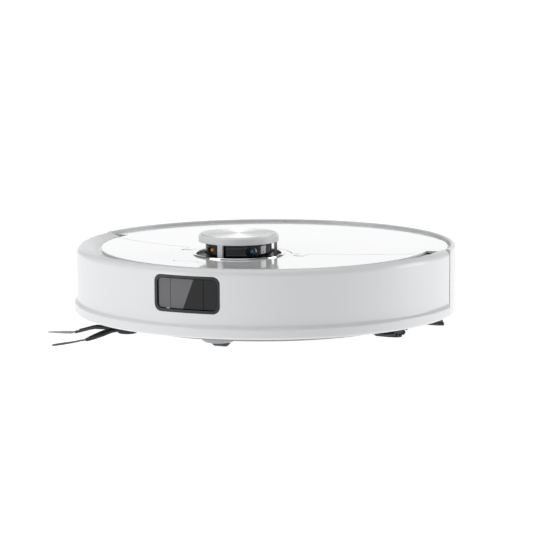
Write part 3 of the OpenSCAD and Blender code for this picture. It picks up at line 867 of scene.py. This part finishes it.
def curved_frame():
    """A ring cut to the window's outline, with a slope from its face down to the glass."""
    low, high = span("window_bezel")
    frame_ring = turned("frame", [(WALL_R - 3.4, low.z), (WALL_R - 0.35, low.z),
                                  (WALL_R - 0.35, high.z), (WALL_R - 3.4, high.z)],
                        sweep=(-12, 12), steps=48)
    core = window_core(WINDOW_ROUND - 0.05)
    apply_modifier(frame_ring, "BOOLEAN", operation="INTERSECT", object=core, solver="EXACT")
    bpy.data.objects.remove(core)
    hole = block((WALL_R - 12, low.y + BEZEL, low.z + BEZEL),
                 (WALL_R + 6, high.y - BEZEL, high.z - BEZEL), 0, 4.6, along=0)
    return joined("window_frame", [ease(cut(frame_ring, hole), 0.9, 50, 2)], 25)


def curved_glass():
    """The glass, in three panes with fine joints between them."""
    low, high = span("window_glass")
    panes = []
    for left, right in ((low.y + 0.4, -JOINT_Y - 0.2), (-JOINT_Y + 0.2, JOINT_Y - 0.2),
                        (JOINT_Y + 0.2, high.y - 0.4)):
        pane = turned("pane", [(GLASS_FACE - 0.6, low.z + 0.3), (GLASS_FACE, low.z + 0.3),
                               (GLASS_FACE, high.z - 0.3), (GLASS_FACE - 0.6, high.z - 0.3)],
                      sweep=(math.degrees(math.asin(left / GLASS_FACE)),
                             math.degrees(math.asin(right / GLASS_FACE))), steps=20)
        panes.append(pane)
    return joined("window_panes", panes, 30)


fit(curved_frame(), black_plastic, "window_bezel")


def tinted_glass():
    """Dark glass with a painted reflection: a paler tone on the side towards the robot's right."""
    finish = Finish("window_tint", (0.012, 0.012, 0.014), 0.08, Specular_IOR_Level=0.3)
    x, y, z = finish.axes()
    # Painted reflection: the glass is paler on one side of a slanted line, painted into its colour
    painted_reflection_mask = (y - (z - 57 * MM) * REFLECTION_SLANT) < REFLECTION_EDGE * MM
    finish.set("Base Color", finish.blend(painted_reflection_mask, finish.color, (0.15, 0.15, 0.155, 1)))
    cloud = finish.noise(12 * MM)
    finish.set("Roughness", 0.06 + 0.05 * cloud)
    return finish


window_tint = tinted_glass()
fit(curved_glass(), window_tint, "window_glass")
print("glass face radius:", GLASS_FACE)

# %% [markdown]
# ## Wheels
#
# The tyres are soft rubber with chunky lugs in a chevron, which grip carpet in both directions. One
# lug is a block, cut across its middle and pushed forward there, then copied round the wheel. The
# hubs are dished mouldings with six pockets. Both are turned upright and then laid on their sides.

# %% Tyres and hubs
LUGS = 24
TREAD = 2.0
CHEVRON = 3.0
RIM_R = 26.4
HUB_DEPTH = 18


def laid(piece, place, side=1):
    """Lays a turned piece on its side: its axis then runs along Y, away from the robot's middle."""
    turn = Matrix.Rotation(math.radians(-90 * side), 4, "X")
    piece.data.transform(Matrix.Translation(Vector(place) * MM) @ turn)
    return piece


def tyre(node):
    """A tyre with a ring of chevron lugs."""
    low, high = span(node)
    middle = (low + high) / 2
    outer = (high.z - low.z) / 2
    tread_r = outer - TREAD
    width = high.y - low.y
    carcass = turned("carcass", [(RIM_R, 0.6), (tread_r - 1.6, 0.6, 0.6), (tread_r, 2.4, 1.0),
                                 (tread_r, width - 2.4, 1.0), (tread_r - 1.6, width - 0.6, 0.6),
                                 (RIM_R, width - 0.6)], steps=120)
    laid(carcass, (middle.x, low.y, middle.z))
    lug = block((-2.4, low.y + 0.2, tread_r - 0.8), (2.4, high.y - 0.2, outer - 0.05), 0)
    slice_across(lug, 1, [middle.y])
    bpy.ops.object.mode_set(mode="EDIT")
    pick(lug, "verts", lambda vertex: abs(vertex.co.y - middle.y * MM) < 0.1 * MM)
    bpy.ops.transform.translate(value=(CHEVRON * MM, 0, 0))
    bpy.ops.object.mode_set(mode="OBJECT")
    shifted(ease(lug, 0.5, 25, 2), middle.x, 0, middle.z)
    return joined(node + "_tread", [carcass] + ring_of(lug, LUGS, middle, "Y"), 30)


def hub(node):
    """A dished hub with six pockets and a boss, and the shaft that the gearbox turns."""
    low, high = span(node)
    side = 1 if high.y > 0 else -1
    inner, outer = (low.y, high.y) if side > 0 else (-high.y, -low.y)
    depth = HUB_DEPTH
    middle = ((low.x + high.x) / 2, side * (outer - depth), (low.z + high.z) / 2)
    dish = turned("dish", [(0, 0), (RIM_R, 0, 0.4), (RIM_R, depth, 0.6), (23.8, depth, 0.4),
                           (22.8, depth - 2.2, 0.5), (8, depth - 2.2, 0.5), (7, depth - 0.8, 0.6),
                           (0, depth - 0.8)], steps=96)
    pocket = turned("pocket", [(0, depth - 7), (5, depth - 7, 0.6), (5, depth + 2),
                               (0, depth + 2)], (15, 0), steps=40)
    shaft = turned("shaft", [(0, inner - outer + depth), (3, inner - outer + depth, 0.3), (3, 1),
                             (0, 1)], steps=48)
    cut(dish, *ring_of(pocket, 6, (0, 0, 0)))
    return joined(node + "_dish", [laid(part, middle, side) for part in (ease(dish, 0.4), shaft)])


for side in ("left", "right"):
    fit(tyre("drive_tyre_" + side), tyre_rubber, "drive_tyre_" + side)
    fit(hub("drive_hub_" + side), base_grey, "drive_hub_" + side)

# %% [markdown]
# ## Caster
#
# Under the nose a grey cup swivels freely and holds a small black roller that trails behind its axis.
# The cup is a turned dome with a slot for the roller, two cheeks that hold the axle, and a stem.

# %% Caster cup and roller
CUP_LOW, CUP_HIGH = span("caster_fork")
CUP_AT = ((CUP_LOW.x + CUP_HIGH.x) / 2, 0)
ROLLER_LOW, ROLLER_HIGH = span("caster_wheel")


def caster_cup():
    """The swivelling cup, its cheeks and its stem."""
    radius = (CUP_HIGH.x - CUP_LOW.x) / 2
    dome = turned("dome", [(0, CUP_LOW.z), (radius - 3.4, CUP_LOW.z, 2.5),
                           (radius, CUP_LOW.z + 4, 3), (radius, CUP_LOW.z + 9.6, 0.4),
                           (0, CUP_LOW.z + 9.6)], CUP_AT, steps=120)
    x = CUP_AT[0]
    slot = block((x - 20, -6.8, -1), (x + 9, 6.8, 26), 0, 3)
    bore = turned("bore", [(0, -1), (4.5, -1), (4.5, 19), (0, 19)], CUP_AT, steps=48)
    parts = [ease(cut(dome, slot, bore), 0.4)]
    parts += [block((x - 16, y, 9), (x + 6, y + 2.7, 28), 0.4, 4, along=1) for y in (-9.5, 6.8)]
    parts.append(block((x - 12, -9.5, 26), (x + 6, 9.5, 28), 0.4))
    parts.append(turned("stem", [(0, 26), (4, 26), (4, CUP_HIGH.z, 0.5), (0, CUP_HIGH.z)],
                        CUP_AT, steps=48))
    return joined("caster_cup", parts)


def caster_roller():
    """A small roller with a dished face on each side, on its axle."""
    radius = (ROLLER_HIGH.z - ROLLER_LOW.z) / 2
    middle = (ROLLER_LOW + ROLLER_HIGH) / 2
    half = 6.4
    face = [(0, half - 0.5), (3.6, half - 0.5), (4.4, half - 1.3, 0.3), (8.8, half - 1.3, 0.3),
            (9.6, half, 0.3), (radius, half, 1.8)]
    back = [(corner[0], -corner[1], *corner[2:]) for corner in reversed(face)]
    roller = turned("roller", face + back, steps=72)
    axle = turned("axle", [(0, -9.3), (1.45, -9.3, 0.3), (1.45, 9.3, 0.3), (0, 9.3)], steps=32)
    return joined("caster_roller", [laid(part, middle) for part in (roller, axle)])


fit(caster_cup(), caster_grey, "caster_fork")
fit(caster_roller(), rubber_black, "caster_wheel")
print("caster at", CUP_AT)

# %% [markdown]
# ## Side brush
#
# The side brush sweeps corners. Two flat rubber paddles slope down from its hub, each with a tuft in
# its tip: a thin neck of packed strands that opens into a loose end. One tuft is splayed by use and
# pale, the other still narrow. A paddle is an outline, filled, extruded, cut into short lengths and
# bent. A strand is a thin rod, and each copy is bent and tapered on its own way outwards.

# %% Paddles and hub
SHAFT_TOP = span("side_brush_hub")[1].z
SIDE_AT = (103, -92)
ARMS = {"narrow": -31, "splayed": -85}
PADDLE_TOP = 10.2
PADDLE_FOOT = 4.6
PADDLE_SLOPE = {"narrow": (19, 43), "splayed": (31, 50)}
TUFT_START = 38
TUFT_END = 78


def plate(outline, low, high):
    """A flat piece with an outline in millimetres, filled and extruded."""
    clear_selection()
    bpy.ops.mesh.primitive_circle_add(vertices=len(outline), radius=MM, fill_type="NGON")
    piece = bpy.context.object
    for vertex, (x, y) in zip(piece.data.vertices, outline):
        vertex.co = Vector((x, y, low)) * MM
    bpy.ops.object.mode_set(mode="EDIT")
    bpy.ops.mesh.select_all(action="SELECT")
    bpy.ops.mesh.extrude_region_move(TRANSFORM_OT_translate={"value": (0, 0, (high - low) * MM)})
    bpy.ops.mesh.select_all(action="SELECT")
    bpy.ops.mesh.normals_make_consistent(inside=False)
    bpy.ops.object.mode_set(mode="OBJECT")
    return piece


def paddle_height(name, reach):
    """How high a paddle runs at a distance from the axis: level at first, then down to the floor."""
    start, end = PADDLE_SLOPE[name]
    share = min(1, max(0, (reach - start) / (end - start)))
    return PADDLE_TOP - (PADDLE_TOP - PADDLE_FOOT) * share


def paddle(name):
    """A rubber paddle with a rib along its back, bent down towards the floor."""
    end = PADDLE_SLOPE[name][1] + 1
    half = [(0, 4.6), (0.3 * end, 4.4), (0.62 * end, 5.2), (0.86 * end, 3.6), (end, 1.4)]
    blade = plate(half + [(x, -y) for x, y in reversed(half)], -1.2, 1.2)
    rib = block((4, -1.0, 0.8), (end - 4, 1.0, 2.0), 0)
    blade = slice_across(joined("paddle", [blade, rib]), 0, range(6, int(end), 4))
    for vertex in blade.data.vertices:
        vertex.co.z += paddle_height(name, vertex.co.x / MM) * MM
    ease(blade, 0.35, 50, 2)
    return shifted(turn_about(blade, ARMS[name]), *SIDE_AT, 0)


def side_hub():
    """The hub's boss and shaft with its two paddles."""
    low, top = PADDLE_TOP - 4, PADDLE_TOP + 1.6
    boss = turned("boss", [(0, low), (4, low, 0.3), (5, low + 0.8, 0.3), (8, low, 0.8),
                           (9, low + 1, 0.6), (9, top, 0.5), (3, top), (3, SHAFT_TOP),
                           (0, SHAFT_TOP)], SIDE_AT, steps=72)
    return joined("side_brush_paddles", [boss] + [paddle(name) for name in ARMS])


fit(side_hub(), rubber_black, "side_brush_hub")
print("side brush at", SIDE_AT)

# %% Tufts of strands
def straight_strand():
    """A thin rod along X, cut across every few millimetres so that it can bend."""
    clear_selection()
    bpy.ops.mesh.primitive_cylinder_add(
        vertices=5, radius=0.36 * MM, depth=(TUFT_END - TUFT_START) * MM,
        location=((TUFT_START + TUFT_END) / 2 * MM, 0, 0), rotation=(0, math.radians(90), 0))
    rod = bpy.context.object
    bpy.ops.object.transform_apply(location=True, rotation=True, scale=True)
    return slice_across(rod, 0, range(TUFT_START + 6, TUFT_END, 6))


def tuft(name, count, widths, curl, seed):
    """Strands that leave the paddle packed together. Widths are their spread along the way."""
    draw = random.Random(seed)
    rod = straight_strand()
    strands = []
    for i in range(count):
        strand = copy_of(rod)
        side = draw.uniform(-1, 1)
        lift = draw.uniform(-1, 1)
        reach = draw.uniform(0.9, 1.0)
        for vertex in strand.data.vertices:
            x, y, z = vertex.co / MM
            t = (x - TUFT_START) / (TUFT_END - TUFT_START)
            place = t * (len(widths) - 1)
            step = min(int(place), len(widths) - 2)
            width = widths[step] + (widths[step + 1] - widths[step]) * (place - step)
            out = TUFT_START + t * (TUFT_END - TUFT_START) * reach
            height = min(paddle_height(name, out), PADDLE_FOOT) - 1.4 * t
            if t < 0.3:
                height = paddle_height(name, out)
            thick = 1 - 0.5 * t
            vertex.co = Vector((out, y * thick + side * width + curl * t * t,
                                z * thick + lift * (0.4 + 0.15 * width) + height)) * MM
        strands.append(shifted(turn_about(strand, ARMS[name]), *SIDE_AT, 0))
    bpy.data.objects.remove(rod)
    return joined("tuft_" + name, strands, 60)


fit(tuft("splayed", 90, (0.7, 0.8, 0.9, 3.6, 2.6, 1.6, 0.6), 0.5, 3), bristle_grey,
    "side_brush_bristles")
fit(tuft("narrow", 60, (0.7, 0.6, 0.6, 0.8, 1.6, 1.8, 1.4), -1.6, 4), bristle_dark,
    "side_brush_bristles")
print("tufts reach", TUFT_END, "mm")

# %% [markdown]
# ## Main brush
#
# The roller under the robot has a hard orange core and six rubber fins. On the real part each fin
# runs in a shallow V that sweeps dirt to the middle. A fin is a thin block cut into short lengths,
# and every length is turned a little further round the core towards the middle.

# %% Core and fins
CORE_LOW, CORE_HIGH = span("main_brush_core")
FIN_LOW, FIN_HIGH = span("main_brush_fins")
BRUSH_AT = ((CORE_LOW.x + CORE_HIGH.x) / 2, 0, (CORE_LOW.z + CORE_HIGH.z) / 2)
FIN_TWIST = 34
FIN_CUTS = 32
FINS = 6


def brush_core():
    """The core with a collar near each end and a thin axle."""
    length = CORE_HIGH.y - CORE_LOW.y
    core = turned("core", [(0, 0), (2.5, 0, 0.4), (2.5, 7), (7, 7, 0.6), (8, 8.5, 0.4),
                           (8, length - 5, 0.4), (7, length - 3.5, 0.6), (2.5, length - 3.5),
                           (2.5, length, 0.4), (0, length)], steps=72)
    return joined("brush_core", [laid(core, (BRUSH_AT[0], CORE_LOW.y, BRUSH_AT[2]))])


def brush_fin():
    """One rubber fin in a shallow V."""
    tip = (FIN_HIGH.z - FIN_LOW.z) / 2
    fin = block((-1.1, FIN_LOW.y, 7.4), (1.1, FIN_HIGH.y, tip), 0)
    bpy.ops.object.mode_set(mode="EDIT")
    pick(fin, "verts", lambda vertex: vertex.co.z > 12 * MM)
    bpy.ops.transform.resize(value=(0.6, 1, 1))
    bpy.ops.object.mode_set(mode="OBJECT")
    slice_across(fin, 1, [FIN_LOW.y + (FIN_HIGH.y - FIN_LOW.y) * i / FIN_CUTS
                          for i in range(1, FIN_CUTS)])
    for vertex in fin.data.vertices:
        share = 1 - abs(vertex.co.y / MM) / FIN_HIGH.y
        vertex.co = Matrix.Rotation(math.radians(FIN_TWIST * share), 3, "Y") @ vertex.co
    return shifted(ease(fin, 0.3, 60, 2), *BRUSH_AT)


fit(brush_core(), brush_orange, "main_brush_core")
fit(joined("brush_fins", ring_of(brush_fin(), FINS, BRUSH_AT, "Y"), 40), brush_rubber,
    "main_brush_fins")
print("brush radius:", round((FIN_HIGH.z - FIN_LOW.z) / 2, 2))

# %% [markdown]
# ## Wiping pad
#
# A pad of dark microfibre hangs under the back on a flat bracket. A pad isn't a board: its edge is
# soft, a sewn channel runs just inside it, and its pile is lumpy. The outline is cut from a turned
# disc and remeshed into small even faces, and then every point is moved: in along the channel and by
# slow and fine noise for the pile.

# %% Pad
PAD_LOW, PAD_HIGH = span("mop_pad")
PAD_R = -PAD_LOW.x
PAD_FRONT = PAD_HIGH.x
CHANNEL = 6
SEAM_DEPTH = 0.9
PILE_DEPTH = 0.28


def wiping_pad():
    """The pad with its soft edge, its sewn channel and its pile."""
    pad = turned("pad", [(0, PAD_LOW.z + 0.5), (PAD_R - 0.4, PAD_LOW.z + 0.5, 1.6),
                         (PAD_R - 0.4, PAD_HIGH.z - 0.1, 1.6), (0, PAD_HIGH.z - 0.1)], steps=160)
    cut(pad, block((PAD_FRONT - 0.4, -180, -5), (180, 180, 12), 0))
    ease(pad, 1.3, 60, 3)
    apply_modifier(pad, "REMESH", mode="VOXEL", voxel_size=1.5 * MM)
    for vertex in pad.data.vertices:
        x, y, z = vertex.co / MM
        inset = min(PAD_R - math.hypot(x, y), PAD_FRONT - x)
        seam = math.exp(-((inset - CHANNEL) / 1.1) ** 2)
        lump = noise.noise(Vector((x, y, 0)) / 9) + 0.8 * noise.noise(Vector((x, y, 5)) / 2.6)
        inwards = 1 if z < (PAD_LOW.z + PAD_HIGH.z) / 2 else -0.25
        vertex.co.z += inwards * (SEAM_DEPTH * seam + PILE_DEPTH * (lump + 1)) * MM
    return joined("wiping_pad", [pad], 60)


pad = fit(wiping_pad(), mop_pile, "mop_pad")
print("pad faces:", len(pad.data.polygons))

# %% [markdown]
# ## Screws
#
# Eight screws close the case from below. Their heads sit in deep round recesses and have a cross cut.

# %% Case screws
SCREW_LOW, SCREW_HIGH = span("case_screws")


def screw_places():
    """The middle of each screw, found from the islands of the plain part."""
    mesh = bmesh.new()
    mesh.from_mesh(nodes["case_screws"].data)
    bmesh.ops.remove_doubles(mesh, verts=mesh.verts, dist=0.001 * MM)
    places = []
    for vertex in mesh.verts:
        flat = Vector((vertex.co.x, vertex.co.y)) / MM
        if not any((flat - place).length < 8 for place in places):
            group = [Vector((v.co.x, v.co.y)) / MM for v in mesh.verts
                     if (Vector((v.co.x, v.co.y)) / MM - flat).length < 8]
            xs, ys = [v.x for v in group], [v.y for v in group]
            places.append(Vector(((min(xs) + max(xs)) / 2, (min(ys) + max(ys)) / 2)))
    mesh.free()
    return places


def case_screw():
    """One screw with a domed head and a cross, its head at the origin."""
    low, high = SCREW_LOW.z, SCREW_HIGH.z
    screw = turned("screw", [(0, low), (3, low, 0.5), (3, low + 1.1, 0.1), (1.5, low + 1.1),
                             (1.5, high, 0.3), (0, high)], steps=36)
    return ease(cut(screw, block((-1.9, -0.35, low - 1), (1.9, 0.35, low + 0.9), 0),
                    block((-0.35, -1.9, low - 1), (0.35, 1.9, low + 0.9), 0)), 0.08)


def all_screws():
    """A copy of the screw at each place."""
    first = case_screw()
    copies = [shifted(copy_of(first), *place, 0) for place in screw_places()]
    bpy.data.objects.remove(first)
    return joined("case_screw_set", copies, 30)


fit(all_screws(), steel, "case_screws")
print("screws:", len(screw_places()))

# %% [markdown]
# ## The rest of the robot
#
# The mouldings that show underneath, behind or when the lid is open get eased copies. The parts that
# stay hidden inside are right as they are and only get their finish.

# %% Ease the mouldings and finish the hidden parts
FINISH_OF = {"shell_white": shell_white, "base_grey": base_grey, "inner_grey": inner_grey,
             "black_plastic": black_plastic, "gloss_black": gloss_black,
             "window_tint": window_tint, "steel": steel, "chrome_ring": chrome_ring,
             "turned_aluminium": turned_aluminium, "rubber_black": rubber_black,
             "tyre_rubber": tyre_rubber, "caster_grey": caster_grey,
             "brush_rubber": brush_rubber, "bristle_grey": bristle_grey,
             "brush_orange": brush_orange, "bin_smoke": bin_smoke,
             "filter_paper": filter_paper, "board_green": board_green,
             "battery_wrap": battery_wrap, "contact_gold": contact_gold,
             "lens_glass": amber, "mop_pile": mop_pile}
EASED = ["base_plate", "front_inner_wall", "inner_tray", "battery_cover", "cliff_sensors",
         "charging_contacts", "drive_arm_left", "drive_arm_right", "caster_socket",
         "side_brush_gearbox", "brush_housing", "brush_guard", "dustbin_tub", "dustbin_top",
         "filter_frame", "mop_bracket", "lid_hinge_pins"]
for node in EASED:
    fit(softened(node), FINISH_OF[slot_of[node]], node)
plain = [node for node, part in nodes.items() if not part.hide_render]
for node in plain:
    for material_slot in nodes[node].material_slots:
        material_slot.material = FINISH_OF[slot_of[node]].material
print("eased:", len(EASED), "kept plain:", plain)
